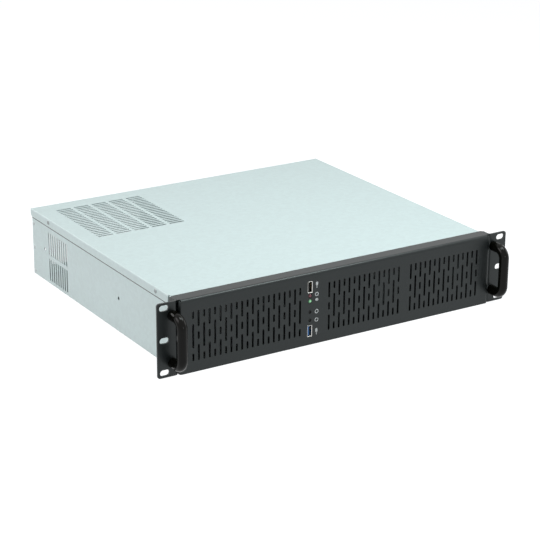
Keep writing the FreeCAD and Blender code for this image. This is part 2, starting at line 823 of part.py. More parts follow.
def usb_shell(height):
    y0 = panel_face + usb_setback
    low = (control_x - usb_width / 2, y0, height - usb_tall / 2)
    high = (control_x + usb_width / 2, y0 + usb_depth, height + usb_tall / 2)
    can = box(low, high)
    can = can.makeFillet(usb_wall * 1.5, [edge for edge in can.Edges if edge.BoundBox.YLength > 1])
    hollow = box([low[0] + usb_wall, low[1] - 1, low[2] + usb_wall],
                 [high[0] - usb_wall, high[1] - usb_wall, high[2] - usb_wall])
    return can.cut(hollow)


def usb_tongue(height):
    y0 = panel_face + usb_setback
    x = control_x - tongue_offset
    return box((x - tongue_thick / 2, y0 + tongue_setback, height - tongue_tall / 2),
               (x + tongue_thick / 2, y0 + usb_depth - usb_wall, height + tongue_tall / 2))


def led(height):
    front = panel_face - led_proud
    stem = rod((control_x, front + led_radius, height), (0, 1, 0), led_radius, led_length - led_radius)
    dome = Part.makeSphere(led_radius, V(control_x, front + led_radius, height))
    foot_y = front + led_length
    foot = box((control_x - 1, foot_y - 2, height - 1), (control_x + usb_width / 2, foot_y, height + 1))
    return fused([stem, dome, foot])


def button(height):
    y0 = panel_face + button_setback
    cap = rod((control_x, y0, height), (0, 1, 0), button_radius, button_length)
    front = [edge for edge in cap.Edges if on_plane(edge, V(control_x, y0, height), V(0, 1, 0))]
    return cap.makeChamfer(button_radius * 0.2, front)


def button_switch(height):
    y0 = panel_face + button_setback + button_length + button_travel + switch_clearance
    half = switch_size / 2
    return box((control_x - half + 0.1, y0, height - half),
               (control_x + usb_width / 2, y0 + switch_body_depth, height + half))


def board_standoffs():
    flats = standoff_flats / 2
    corner = flats / math.cos(math.pi / 6)
    solids = []
    for x, y in standoff_places():
        ring = [V(x + corner * math.cos(math.pi / 3 * k), y + corner * math.sin(math.pi / 3 * k), bench)
                for k in range(7)]
        body = Part.Face(Part.makePolygon(ring)).extrude(V(0, 0, standoff_height))
        stud = rod((x, y, bench * 0.1), (0, 0, 1), standoff_stud, bench)
        bore = rod((x, y, bench + 1), (0, 0, 1), standoff_bore, standoff_height)
        solids.append(fused([body, stud]).cut(bore))
    return Part.makeCompound(solids)


def floor_screws(places):
    return Part.makeCompound([pan_screw((x, y, bench + sheet), (0, 0, 1), 1.9 * sheet) for x, y in places])


def both_sides(shapes):
    return Part.makeCompound(list(shapes) + [mirrored(shape) for shape in shapes])


def lid_screws():
    return both_sides([pan_screw((lid_x, y, lid_screw_height), (1, 0, 0), 3.2 * sheet, head=screw_head_height)
                       for y in lid_screw_places])


def panel_screws():
    return both_sides([pan_screw((ear_seat, panel_screw_y, z), (1, 0, 0), 6 * sheet, head=screw_head_height)
                       for z in (panel_screw_low, panel_screw_high)])


def ear_screws():
    return both_sides([pan_screw((ear_seat, panel_screw_y, z), (1, 0, 0), 6 * sheet)
                       for z in ear_screw_heights])


def side_screws():
    return both_sides([pan_screw((wall_x, side_screw_y, side_screw_height), (1, 0, 0), 4 * sheet)])


def handle_screws():
    return both_sides([pan_screw((handle_x, ear_sheet, z), (0, 1, 0), handle_screw_reach,
                                 handle_screw_head, handle_screw_radius, handle_screw_height)
                       for z in (handle_low, handle_high)])


def rear_rivets():
    return both_sides([pan_screw((wall_x, rivet_y, z), (1, 0, 0), 2.5 * sheet,
                                 rivet_head_radius, rivet_radius, rivet_head_height) for z in rivet_heights])


def cover_screws_on_ledge():
    seat = ledge_height + cover_sheet
    return Part.makeCompound([pan_screw((x, cover_screw_y, seat), (0, 0, 1), 3 * sheet) for x in card_places])


def board_screws():
    x = control_x + usb_width / 2
    reach = board_thick + sheet
    return Part.makeCompound([pan_screw((x, y, z), (-1, 0, 0), reach) for y, z in board_screw_places()])


nodes = {
    "chassis_base": chassis_base(),
    "rear_panel": rear_panel(),
    "top_cover": top_cover(),
    "front_panel": front_panel(),
    "front_rail": front_rail(),
    "right_ear_bracket": right_ear_bracket(),
    "left_ear_bracket": mirrored(right_ear_bracket()),
    "right_handle": right_handle(),
    "left_handle": mirrored(right_handle()),
    "drive_cage": drive_cage(),
    "fan_bracket": fan_bracket(),
    "power_supply_stop": power_supply_stop(),
    "io_bracket": io_bracket(),
    "io_board": io_board(),
    "usb2_shell": usb_shell(usb2_height),
    "usb2_tongue": usb_tongue(usb2_height),
    "usb3_shell": usb_shell(usb3_height),
    "usb3_tongue": usb_tongue(usb3_height),
    "red_led": led(red_height),
    "green_led": led(green_height),
    "power_button": button(power_height),
    "reset_button": button(reset_height),
    "power_switch": button_switch(power_height),
    "reset_switch": button_switch(reset_height),
    "board_standoffs": board_standoffs(),
    "cover_screws": lid_screws(),
    "panel_screws": panel_screws(),
    "ear_bracket_screws": ear_screws(),
    "side_tab_screws": side_screws(),
    "handle_screws": handle_screws(),
    "rear_panel_rivets": rear_rivets(),
    "slot_cover_screws": cover_screws_on_ledge(),
    "drive_cage_screws": floor_screws(cage_screw_places()),
    "fan_bracket_screws": floor_screws(fan_screw_places()),
    "power_supply_stop_screws": floor_screws(stop_screw_places()),
    "io_bracket_screws": floor_screws(io_screw_places()),
    "io_board_screws": board_screws(),
}
for number, card_x in enumerate(card_places, start=1):
    nodes[f"slot_cover_{number}"] = slot_cover(card_x)

os.makedirs("parts", exist_ok=True)
for name, shape in nodes.items():
    shape.translate(V(0, 0, -origin_height))
    shape.exportStep(f"parts/{name}.step")
    print(name, len(shape.Solids), shape.isValid(), round(shape.Volume, 1))
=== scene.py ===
import json
import math

import bmesh
import bpy
from mathutils import Matrix, Vector


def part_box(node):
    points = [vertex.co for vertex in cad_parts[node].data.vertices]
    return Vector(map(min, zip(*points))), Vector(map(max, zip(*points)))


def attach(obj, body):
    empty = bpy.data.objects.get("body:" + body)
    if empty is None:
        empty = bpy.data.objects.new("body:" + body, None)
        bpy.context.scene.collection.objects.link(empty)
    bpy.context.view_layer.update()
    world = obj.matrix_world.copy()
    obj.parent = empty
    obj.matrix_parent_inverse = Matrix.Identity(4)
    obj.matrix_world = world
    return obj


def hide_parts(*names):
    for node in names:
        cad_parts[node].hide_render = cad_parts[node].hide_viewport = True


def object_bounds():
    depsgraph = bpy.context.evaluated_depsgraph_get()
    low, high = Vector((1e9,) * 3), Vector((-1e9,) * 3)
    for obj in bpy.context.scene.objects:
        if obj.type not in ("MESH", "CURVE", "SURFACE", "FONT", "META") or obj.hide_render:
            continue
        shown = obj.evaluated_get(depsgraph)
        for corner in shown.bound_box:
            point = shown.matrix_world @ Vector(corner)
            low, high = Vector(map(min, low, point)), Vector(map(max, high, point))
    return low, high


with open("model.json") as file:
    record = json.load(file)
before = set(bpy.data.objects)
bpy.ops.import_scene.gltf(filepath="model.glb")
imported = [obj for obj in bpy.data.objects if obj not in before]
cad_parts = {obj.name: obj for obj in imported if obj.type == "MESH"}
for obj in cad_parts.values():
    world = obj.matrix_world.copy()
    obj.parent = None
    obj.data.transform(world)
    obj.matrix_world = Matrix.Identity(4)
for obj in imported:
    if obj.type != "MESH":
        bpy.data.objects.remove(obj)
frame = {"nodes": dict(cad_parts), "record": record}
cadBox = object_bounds()
nodes = frame["nodes"]
mm = 0.001
weld = 0.001 * mm  # points closer than this are one
facing = 0.9  # cosine of a face that looks a given way
quarter = math.radians(90)
print("frame loaded:", len(nodes), "nodes")


# Helpers

def clearPick():
    if bpy.context.mode != "OBJECT":
        bpy.ops.object.mode_set(mode="OBJECT")
    bpy.ops.object.select_all(action="DESELECT")


def startEdit():
    bpy.ops.object.mode_set(mode="EDIT")
    bpy.ops.mesh.select_all(action="SELECT")


def pickFaces(test):
    mesh = bmesh.from_edit_mesh(bpy.context.edit_object.data)
    for face in mesh.faces:
        face.select_set(False)
    for face in mesh.faces:
        if test(face.calc_center_median(), face.normal):
            face.select_set(True)
    bmesh.update_edit_mesh(bpy.context.edit_object.data)


def pull(x, y, z):
    bpy.ops.mesh.extrude_region_move(TRANSFORM_OT_translate={"value": (x, y, z)})


def endEdit(angle=30.0):
    bpy.ops.mesh.select_all(action="SELECT")
    bpy.ops.mesh.remove_doubles(threshold=weld)
    bpy.ops.mesh.normals_make_consistent(inside=False)
    bpy.ops.object.mode_set(mode="OBJECT")
    bpy.ops.object.shade_smooth_by_angle(angle=math.radians(angle))


def settle(piece):
    clearPick()
    piece.select_set(True)
    bpy.context.view_layer.objects.active = piece
    bpy.ops.object.transform_apply(location=True, rotation=True, scale=True)
    return piece


def useModifier(piece, kind, **values):
    modifier = piece.modifiers.new(kind.lower(), kind)
    for key, value in values.items():
        setattr(modifier, key, value)
    clearPick()
    piece.select_set(True)
    bpy.context.view_layer.objects.active = piece
    bpy.ops.object.modifier_apply(modifier=modifier.name)


def softenEdges(piece, width, segments=2, angle=30.0):
    useModifier(piece, "BEVEL", width=width, segments=segments, limit_method="ANGLE",
                angle_limit=math.radians(angle))
    bpy.ops.object.shade_smooth_by_angle(angle=math.radians(angle))


def cutWith(piece, cutter):
    useModifier(piece, "BOOLEAN", operation="DIFFERENCE", object=cutter, solver="EXACT")
    bpy.data.objects.remove(cutter)


def joinPieces(pieces, name):
    clearPick()
    for piece in pieces:
        piece.select_set(True)
    bpy.context.view_layer.objects.active = pieces[0]
    if len(pieces) > 1:
        bpy.ops.object.join()
    pieces[0].name = name
    return pieces[0]


def copiesAt(source, matrices, name):
    copies = []
    for matrix in matrices:
        copy = source.copy()
        copy.data = source.data.copy()
        copy.data.transform(matrix)
        bpy.context.scene.collection.objects.link(copy)
        copies.append(copy)
    bpy.data.objects.remove(source)
    return joinPieces(copies, name)


def turned(name, profile, sides=32, angle=30.0):  # a round piece on Z from (radius, height) steps
    clearPick()
    radius, height = profile[0]
    bpy.ops.mesh.primitive_circle_add(vertices=sides, radius=radius, fill_type="NGON",
                                      location=(0, 0, height))
    piece = settle(bpy.context.object)
    piece.name = name
    startEdit()
    for nextRadius, nextHeight in profile[1:]:
        pull(0, 0, nextHeight - height)
        ratio = nextRadius / radius
        bpy.ops.transform.resize(value=(ratio, ratio, 1), center_override=(0, 0, 0))
        radius, height = nextRadius, nextHeight
    endEdit(angle)
    return piece


def block(name, low, high, width=0.0, segments=2):
    clearPick()
    low, high = Vector(low), Vector(high)
    bpy.ops.mesh.primitive_cube_add(size=1, location=(low + high) / 2, scale=high - low)
    piece = settle(bpy.context.object)
    piece.name = name
    if width:
        softenEdges(piece, width, segments)
    return piece


def plate(place, wide, tall):  # a flat face looking to the front
    clearPick()
    bpy.ops.mesh.primitive_plane_add(size=1, location=place, rotation=(quarter, 0, 0))
    piece = bpy.context.object
    piece.scale = (wide, tall, 1)
    return settle(piece)


def solidBoxes(name):  # the box of each separate solid of a CAD node
    mesh = bmesh.new()
    mesh.from_mesh(nodes[name].data)
    bmesh.ops.remove_doubles(mesh, verts=mesh.verts, dist=2 * weld)
    left = set(mesh.verts)
    boxes = []
    while left:
        island = [left.pop()]
        for vert in island:
            for edge in vert.link_edges:
                other = edge.other_vert(vert)
                if other in left:
                    left.remove(other)
                    island.append(other)
        points = [vert.co for vert in island]
        low = Vector(min(p[i] for p in points) for i in range(3))
        high = Vector(max(p[i] for p in points) for i in range(3))
        boxes.append((low, high))
    mesh.free()
    return sorted(boxes, key=lambda pair: tuple(round(v, 5) for v in pair[0]))


# Shader helpers

def newGroup(name, inputs, outputs):
    group = bpy.data.node_groups.new(name, "ShaderNodeTree")
    for label, kind, value in inputs:
        socket = group.interface.new_socket(label, in_out="INPUT", socket_type=kind)
        if value is not None:
            socket.default_value = value
    for label, kind in outputs:
        group.interface.new_socket(label, in_out="OUTPUT", socket_type=kind)
    return group


def addNode(tree, kind, values=None, **settings):
    node = tree.nodes.new(kind)
    for key, value in settings.items():
        setattr(node, key, value)
    for key, value in (values or {}).items():
        node.inputs[key].default_value = value
    return node


def addBump(tree, height, strength, depth):
    bump = addNode(tree, "ShaderNodeBump", {"Strength": strength, "Distance": depth})
    tree.links.new(height, bump.inputs["Height"])
    return bump.outputs["Normal"]


def mixColours(tree, factor, first, second):
    mix = addNode(tree, "ShaderNodeMix", data_type="RGBA")
    mix.inputs[6].default_value = (*first, 1)
    mix.inputs[7].default_value = (*second, 1)
    tree.links.new(factor, mix.inputs[0])
    return mix.outputs[2]


def rangeOf(tree, value, low, high):
    node = addNode(tree, "ShaderNodeMapRange", {"To Min": low, "To Max": high})
    tree.links.new(value, node.inputs["Value"])
    return node.outputs["Result"]


def makeGrain():  # fine grain of a coat or a moulded face
    group = newGroup("fineGrain", [("Vector", "NodeSocketVector", None), ("Scale", "NodeSocketFloat", 1500.0),
                                   ("Depth", "NodeSocketFloat", 0.02 * mm)],
                     [("Mask", "NodeSocketFloat"), ("Normal", "NodeSocketVector")])
    start = addNode(group, "NodeGroupInput")
    end = addNode(group, "NodeGroupOutput")
    noise = addNode(group, "ShaderNodeTexNoise", {"Detail": 3.0, "Roughness": 0.6})
    group.links.new(start.outputs["Vector"], noise.inputs["Vector"])
    group.links.new(start.outputs["Scale"], noise.inputs["Scale"])
    bump = addNode(group, "ShaderNodeBump", {"Strength": 1.0})
    group.links.new(noise.outputs["Fac"], bump.inputs["Height"])
    group.links.new(start.outputs["Depth"], bump.inputs["Distance"])
    group.links.new(noise.outputs["Fac"], end.inputs["Mask"])
    group.links.new(bump.outputs["Normal"], end.inputs["Normal"])
    return group


def makeSpangle():  # zinc crystals: each cell has its own tone, over a fine rolled grain
    look = {"warpScale": 400.0, "warp": 1.6 * mm}
    group = newGroup("zincSpangle", [("Vector", "NodeSocketVector", None),
                                     ("Crystals", "NodeSocketFloat", 200.0),
                                     ("Speckle", "NodeSocketFloat", 1800.0)],
                     [("Tone", "NodeSocketFloat"), ("Speckle", "NodeSocketFloat")])
    start = addNode(group, "NodeGroupInput")
    end = addNode(group, "NodeGroupOutput")
    warp = addNode(group, "ShaderNodeTexNoise", {"Scale": look["warpScale"], "Detail": 2.0})
    group.links.new(start.outputs["Vector"], warp.inputs["Vector"])
    push = addNode(group, "ShaderNodeVectorMath", operation="MULTIPLY_ADD")
    push.inputs[1].default_value = (look["warp"], look["warp"], look["warp"])
    group.links.new(warp.outputs["Color"], push.inputs[0])
    group.links.new(start.outputs["Vector"], push.inputs[2])
    cells = addNode(group, "ShaderNodeTexVoronoi", {"Randomness": 1.0})
    group.links.new(push.outputs["Vector"], cells.inputs["Vector"])
    group.links.new(start.outputs["Crystals"], cells.inputs["Scale"])
    split = addNode(group, "ShaderNodeSeparateColor")
    group.links.new(cells.outputs["Color"], split.inputs["Color"])
    speckle = addNode(group, "ShaderNodeTexNoise", {"Detail": 2.0, "Roughness": 0.7})
    group.links.new(start.outputs["Vector"], speckle.inputs["Vector"])
    group.links.new(start.outputs["Speckle"], speckle.inputs["Scale"])
    group.links.new(split.outputs["Red"], end.inputs["Tone"])
    group.links.new(speckle.outputs["Fac"], end.inputs["Speckle"])
    return group


def makeBoxMask():  # 1 inside a box, 0 outside it
    group = newGroup("boxMask", [("Vector", "NodeSocketVector", None), ("Centre", "NodeSocketVector", None),
                                 ("Half", "NodeSocketVector", None)], [("Mask", "NodeSocketFloat")])
    start = addNode(group, "NodeGroupInput")
    end = addNode(group, "NodeGroupOutput")
    offset = addNode(group, "ShaderNodeVectorMath", operation="SUBTRACT")
    group.links.new(start.outputs["Vector"], offset.inputs[0])
    group.links.new(start.outputs["Centre"], offset.inputs[1])
    share = addNode(group, "ShaderNodeVectorMath", operation="DIVIDE")
    group.links.new(offset.outputs[0], share.inputs[0])
    group.links.new(start.outputs["Half"], share.inputs[1])
    size = addNode(group, "ShaderNodeVectorMath", operation="ABSOLUTE")
    group.links.new(share.outputs[0], size.inputs[0])
    split = addNode(group, "ShaderNodeSeparateXYZ")
    group.links.new(size.outputs[0], split.inputs[0])
    most = split.outputs["X"]
    for label in ("Y", "Z"):
        larger = addNode(group, "ShaderNodeMath", operation="MAXIMUM")
        group.links.new(most, larger.inputs[0])
        group.links.new(split.outputs[label], larger.inputs[1])
        most = larger.outputs[0]
    within = addNode(group, "ShaderNodeMath", {1: 1.0}, operation="LESS_THAN")
    group.links.new(most, within.inputs[0])
    group.links.new(within.outputs[0], end.inputs["Mask"])
    return group


grainGroup = makeGrain()
boxGroup = makeBoxMask()
spangleGroup = makeSpangle()


def newMaterial(name, **values):
    material = bpy.data.materials.new(name)
    material.use_nodes = True
    tree = material.node_tree
    shader = tree.nodes["Principled BSDF"]
    for key, value in values.items():
        shader.inputs[key.replace("_", " ")].default_value = value
    return material, tree, shader


def zincSheet():  # painted shade: the sheet is darker inside the case, and a painted shadow line runs along each outer wall under the lid's side flanges
    look = {"dark": (0.62, 0.725, 0.725), "light": (0.695, 0.81, 0.81), "metallic": 0.20, "roughness": 0.50,
            "roughSpread": 0.06, "crystals": 230.0, "speckle": 2200.0, "speckleShare": 0.55, "bump": 0.35,
            "bumpDepth": 0.01 * mm, "inside": (0.30, 0.29, 0.29),
            "insideShadeLow": (0.99 * mm, 1.0 * mm, 0.88 * mm), "insideShadeHigh": (0.99 * mm, 1.1 * mm, 0.935 * mm),
            "seamShadow": (0.06, 0.06, 0.06), "seamShadowWidth": 2.0 * mm, "seamShadowDepth": 0.2 * mm, "seamShadowOver": 1.0 * mm}
    material, tree, shader = newMaterial("zincSheet", Metallic=look["metallic"])
    spangle = addNode(tree, "ShaderNodeGroup", node_tree=spangleGroup)
    coordinates = addNode(tree, "ShaderNodeTexCoord")
    tree.links.new(coordinates.outputs["Object"], spangle.inputs["Vector"])
    spangle.inputs["Crystals"].default_value = look["crystals"]
    spangle.inputs["Speckle"].default_value = look["speckle"]
    blend = addNode(tree, "ShaderNodeMix", {0: look["speckleShare"]}, data_type="FLOAT")
    tree.links.new(spangle.outputs["Tone"], blend.inputs[2])
    tree.links.new(spangle.outputs["Speckle"], blend.inputs[3])
    colour = mixColours(tree, blend.outputs[0], look["dark"], look["light"])
    baseLow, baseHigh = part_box("chassis_base")
    coverLow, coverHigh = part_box("top_cover")
    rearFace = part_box("rear_panel")[0].y
    # painted shade: the zinc inside the case is multiplied by the inside tone, standing in for the shade in
    # the closed case
    insideShadeLow = Vector((baseLow.x, 0, baseLow.z)) + Vector(look["insideShadeLow"])
    insideShadeHigh = Vector((baseHigh.x, rearFace, coverHigh.z)) - Vector(look["insideShadeHigh"])
    # painted shadow: a dark band on each outer wall just under the lid's side flange, where the flange's
    # shadow falls
    seamShadowHalf = look["seamShadowWidth"] / 2
    left = Vector((baseLow.x, (baseLow.y + baseHigh.y) / 2, coverLow.z - seamShadowHalf))
    right = Vector((-left.x, left.y, left.z))
    seamShadow = Vector((look["seamShadowDepth"], (baseHigh.y - baseLow.y) / 2 + look["seamShadowOver"], seamShadowHalf))
    # each box multiplies its painted shade or painted shadow tone into the zinc colour
    for low, high, tone in ((insideShadeLow, insideShadeHigh, look["inside"]), (left - seamShadow, left + seamShadow, look["seamShadow"]),
                            (right - seamShadow, right + seamShadow, look["seamShadow"])):
        mask = addNode(tree, "ShaderNodeGroup", node_tree=boxGroup)
        mask.inputs["Centre"].default_value = (low + high) / 2
        mask.inputs["Half"].default_value = (high - low) / 2
        tree.links.new(coordinates.outputs["Object"], mask.inputs["Vector"])
        toned = mixColours(tree, mask.outputs["Mask"], (0, 0, 0), tone)
        toned.node.blend_type = "MULTIPLY"
        tree.links.new(colour, toned.node.inputs[6])
        colour = toned
    tree.links.new(colour, shader.inputs["Base Color"])
    rough = rangeOf(tree, blend.outputs[0], look["roughness"] - look["roughSpread"],
                    look["roughness"] + look["roughSpread"])
    tree.links.new(rough, shader.inputs["Roughness"])
    normal = addBump(tree, spangle.outputs["Speckle"], look["bump"], look["bumpDepth"])
    tree.links.new(normal, shader.inputs["Normal"])
    return material


def grainedMaterial(name, dark, light, scale, depth, roughness, spread=0.05, **values):
    material, tree, shader = newMaterial(name, **values)
    grain = addNode(tree, "ShaderNodeGroup", node_tree=grainGroup)
    coordinates = addNode(tree, "ShaderNodeTexCoord")
    tree.links.new(coordinates.outputs["Object"], grain.inputs["Vector"])
    grain.inputs["Scale"].default_value = scale
    grain.inputs["Depth"].default_value = depth
    tree.links.new(mixColours(tree, grain.outputs["Mask"], dark, light), shader.inputs["Base Color"])
    rough = rangeOf(tree, grain.outputs["Mask"], roughness - spread, roughness + spread)
    tree.links.new(rough, shader.inputs["Roughness"])
    tree.links.new(grain.outputs["Normal"], shader.inputs["Normal"])
    return material


def lensMaterial(name, middle, rim, radius, centre, glow):  # a tinted lens, brighter on its axis
    material, tree, shader = newMaterial(name, Roughness=0.18, Coat_Weight=0.4, Coat_Roughness=0.05)
    coordinates = addNode(tree, "ShaderNodeTexCoord")
    shift = addNode(tree, "ShaderNodeMapping")
    shift.inputs["Location"].default_value = (-centre.x, 0, -centre.z)
    shift.inputs["Scale"].default_value = (1, 0, 1)
    tree.links.new(coordinates.outputs["Object"], shift.inputs["Vector"])
    reach = addNode(tree, "ShaderNodeVectorMath", operation="LENGTH")
    tree.links.new(shift.outputs["Vector"], reach.inputs[0])
    share = addNode(tree, "ShaderNodeMapRange", {"From Min": 0.0, "From Max": radius},
                    interpolation_type="SMOOTHSTEP")
    tree.links.new(reach.outputs["Value"], share.inputs["Value"])
    colour = mixColours(tree, share.outputs["Result"], middle, rim)
    tree.links.new(colour, shader.inputs["Base Color"])
    if glow:
        tree.links.new(colour, shader.inputs["Emission Color"])
        shader.inputs["Emission Strength"].default_value = glow
    return material


def boardMaterial():  # green solder mask with copper tracks under it
    material, tree, shader = newMaterial("solderMask", Roughness=0.32, Coat_Weight=0.3)
    coordinates = addNode(tree, "ShaderNodeTexCoord")
    bricks = addNode(tree, "ShaderNodeTexBrick", {"Scale": 160.0, "Mortar Size": 0.06, "Mortar Smooth": 0.2})
    bricks.inputs["Color1"].default_value = (0.012, 0.115, 0.045, 1)
    bricks.inputs["Color2"].default_value = (0.016, 0.135, 0.055, 1)
    bricks.inputs["Mortar"].default_value = (0.045, 0.24, 0.10, 1)
    turn = addNode(tree, "ShaderNodeMapping")
    turn.inputs["Rotation"].default_value = (quarter, 0, quarter)
    tree.links.new(coordinates.outputs["Object"], turn.inputs["Vector"])
    tree.links.new(turn.outputs["Vector"], bricks.inputs["Vector"])
    tree.links.new(bricks.outputs["Color"], shader.inputs["Base Color"])
    normal = addBump(tree, bricks.outputs["Fac"], strength=0.4, depth=0.03 * mm)
    tree.links.new(normal, shader.inputs["Normal"])
    return material


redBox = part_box("red_led")
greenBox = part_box("green_led")
ledRadius = (redBox[1].z - redBox[0].z) / 2
lensX = redBox[0].x + ledRadius
materials = {
    "galvanised_steel": zincSheet(),
    "black_powder_coat": grainedMaterial("powderCoat", (0.005, 0.0075, 0.0080), (0.012, 0.0150, 0.0155),
                                         scale=1900.0, depth=0.05 * mm, roughness=0.34,
                                         Specular_IOR_Level=0.43, Specular_Tint=(0.94, 1.0, 1.0, 1.0)),
    "gloss_black_bar": grainedMaterial("glossBar", (0.0015, 0.0015, 0.0008), (0.003, 0.0028, 0.0016),
                                       scale=420.0, depth=0.004 * mm, roughness=0.16, spread=0.02,
                                       Specular_IOR_Level=0.15),
    "circuit_board": boardMaterial(),
    "plated_shell": grainedMaterial("nickelPlate", (0.62, 0.61, 0.585), (0.74, 0.73, 0.70),
                                    scale=2600.0, depth=0.003 * mm, roughness=0.24, Metallic=1.0),
    "black_plastic": grainedMaterial("blackPlastic", (0.004, 0.004, 0.004), (0.008, 0.008, 0.008),
                                     scale=3000.0, depth=0.01 * mm, roughness=0.50, Specular_IOR_Level=0.2),
    "blue_plastic": grainedMaterial("bluePlastic", (0.035, 0.17, 0.46), (0.05, 0.21, 0.54),
                                    scale=3000.0, depth=0.01 * mm, roughness=0.38),
    "red_lens": lensMaterial("redLens", (0.24, 0.030, 0.060), (0.10, 0.010, 0.022), ledRadius,
                             Vector((lensX, 0, (redBox[0].z + redBox[1].z) / 2)), glow=0.0),
    "green_lens": lensMaterial("greenLens", (0.42, 0.95, 0.50), (0.012, 0.085, 0.03), ledRadius,
                               Vector((lensX, 0, (greenBox[0].z + greenBox[1].z) / 2)), glow=0.35),
    "standoff_brass": grainedMaterial("standoffBrass", (0.60, 0.45, 0.20), (0.72, 0.56, 0.28),
                                      scale=1500.0, depth=0.004 * mm, roughness=0.28, Metallic=1.0),
    "zinc_screw": grainedMaterial("zincPlate", (0.27, 0.30, 0.305), (0.36, 0.39, 0.39),
                                  scale=1800.0, depth=0.004 * mm, roughness=0.32, Metallic=1.0),
    "black_screw": grainedMaterial("blackOxide", (0.018, 0.018, 0.018), (0.030, 0.030, 0.029),
                                   scale=1800.0, depth=0.004 * mm, roughness=0.36, Metallic=0.3),
}
rivetMetal = grainedMaterial("rivetMetal", (0.50, 0.55, 0.555), (0.60, 0.65, 0.655),
                             scale=1800.0, depth=0.004 * mm, roughness=0.34, Metallic=0.6)
whitePrint = grainedMaterial("whitePrint", (0.82, 0.84, 0.84), (0.90, 0.92, 0.92),
                             scale=2400.0, depth=0.004 * mm, roughness=0.55)
goldContact = grainedMaterial("goldContact", (0.78, 0.55, 0.22), (0.86, 0.63, 0.28),
                              scale=2400.0, depth=0.003 * mm, roughness=0.25, Metallic=1.0)

slotOf = {}
for row in frame["record"]["subparts"]:
    slotOf[row["node"]] = row["material_slot"]
for name, node in nodes.items():
    for slot in node.material_slots:
        slot.material = materials[slotOf[name]]
print("materials set:", len(materials))


def finish(piece, body, slotName, material=None, replaced=()):
    piece.data.materials.clear()
    piece.data.materials.append(material or materials[slotName])
    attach(piece, body)
    if replaced:
        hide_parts(*replaced)


# Screws: a domed head with a cross recess on a threaded shank

screwLook = {"recess": 0.34, "recessReach": 0.58, "recessDepth": 0.55, "recessTaper": 0.55,
             "cutOver": 0.4 * mm, "tip": 0.7, "tipLength": 0.25 * mm, "plainLength": 0.15 * mm,
             "threadPitch": 0.5 * mm, "threadDeep": 0.88, "rim": 0.35, "dome": 0.72, "domeSteps": 6,
             "stepIn": 0.06, "crown": 0.3, "sides": 32, "smooth": 32}
flatHead, panHead, boltHead = 0.9 * mm, 2.0 * mm, 2.5 * mm
thinShank, boltShank = 1.4 * mm, 2.0 * mm


def crossCutter(reach, wide, deep, top):
    clearPick()
    bpy.ops.mesh.primitive_cube_add(size=1, location=(0, 0, top - deep / 2), scale=(wide, wide, deep))
    piece = settle(bpy.context.object)
    startEdit()
    for arm in (Vector((1, 0, 0)), Vector((-1, 0, 0)), Vector((0, 1, 0)), Vector((0, -1, 0))):
        pickFaces(lambda place, normal: normal.dot(arm) > facing and place.xy.length < wide)
        pull(*(arm * (reach - wide / 2)))
    bottom = top - deep
    pickFaces(lambda place, normal: abs(place.z - bottom) < weld)
    taper = screwLook["recessTaper"]
    bpy.ops.transform.resize(value=(taper, taper, 1), center_override=(0, 0, bottom))
    endEdit()
    return piece


def makeScrew(headRadius, headHeight, shankRadius, reach):
    look = screwLook
    height = look["tipLength"] - reach
    profile = [(shankRadius * look["tip"], -reach), (shankRadius, height)]
    while height + look["threadPitch"] < -look["plainLength"]:
        profile.append((shankRadius * look["threadDeep"], height + look["threadPitch"] / 2))
        height += look["threadPitch"]
        profile.append((shankRadius, height))
    profile += [(shankRadius * look["threadDeep"], 0.0), (headRadius, 0.0)]
    profile.append((headRadius, headHeight * look["rim"]))
    for step in range(1, look["domeSteps"]):
        turn = quarter * step / look["domeSteps"]
        wide = look["dome"] + (1 - look["dome"]) * math.cos(turn)
        profile.append((headRadius * wide * (1 - look["stepIn"] * step),
                        headHeight * (look["rim"] + (1 - look["rim"]) * math.sin(turn))))
    profile.append((headRadius * look["crown"], headHeight))
    screw = turned("screw", profile, look["sides"])
    cutter = crossCutter(headRadius * look["recessReach"], headRadius * look["recess"],
                         headHeight * look["recessDepth"] + look["cutOver"], headHeight + look["cutOver"])
    cutWith(screw, cutter)
    bpy.ops.object.shade_smooth_by_angle(angle=math.radians(look["smooth"]))
    return screw


def turnTo(axis, place):
    turn = Vector((0, 0, 1)).rotation_difference(Vector(axis))
    return Matrix.Translation(place) @ turn.to_matrix().to_4x4()


def outwardX(low, high):
    return (1.0 if low.x + high.x > 0 else -1.0, 0.0, 0.0)


def screwSet(node, slotName, headHeight, shankRadius, axis=None):
    boxes = solidBoxes(node)
    first = boxes[0]
    along = axis or (1, 0, 0)
    size = first[1] - first[0]
    index = [abs(v) for v in along].index(1)
    others = [i for i in range(3) if i != index]
    headRadius = size[others[0]] / 2
    screw = makeScrew(headRadius, headHeight, shankRadius, size[index] - headHeight)
    matrices = []
    for low, high in boxes:
        out = Vector(axis or outwardX(low, high))
        middle = (low + high) / 2
        tip = middle + out * (size[index] / 2 - headHeight)
        matrices.append(turnTo(out, tip))
    piece = copiesAt(screw, matrices, node + "_made")
    finish(piece, "case", slotName, replaced=(node,))


screwSet("cover_screws", "zinc_screw", flatHead, thinShank)
screwSet("panel_screws", "black_screw", flatHead, thinShank)
screwSet("ear_bracket_screws", "black_screw", panHead, thinShank)
screwSet("side_tab_screws", "black_screw", panHead, thinShank)
screwSet("handle_screws", "zinc_screw", boltHead, boltShank, (0, 1, 0))
for node in ("slot_cover_screws", "drive_cage_screws", "fan_bracket_screws", "power_supply_stop_screws",
             "io_bracket_screws"):
    screwSet(node, "zinc_screw", panHead, thinShank, (0, 0, 1))
screwSet("io_board_screws", "zinc_screw", panHead, thinShank, (-1, 0, 0))
print("screws made")


# Rivets: a low dome with the broken pin in its middle

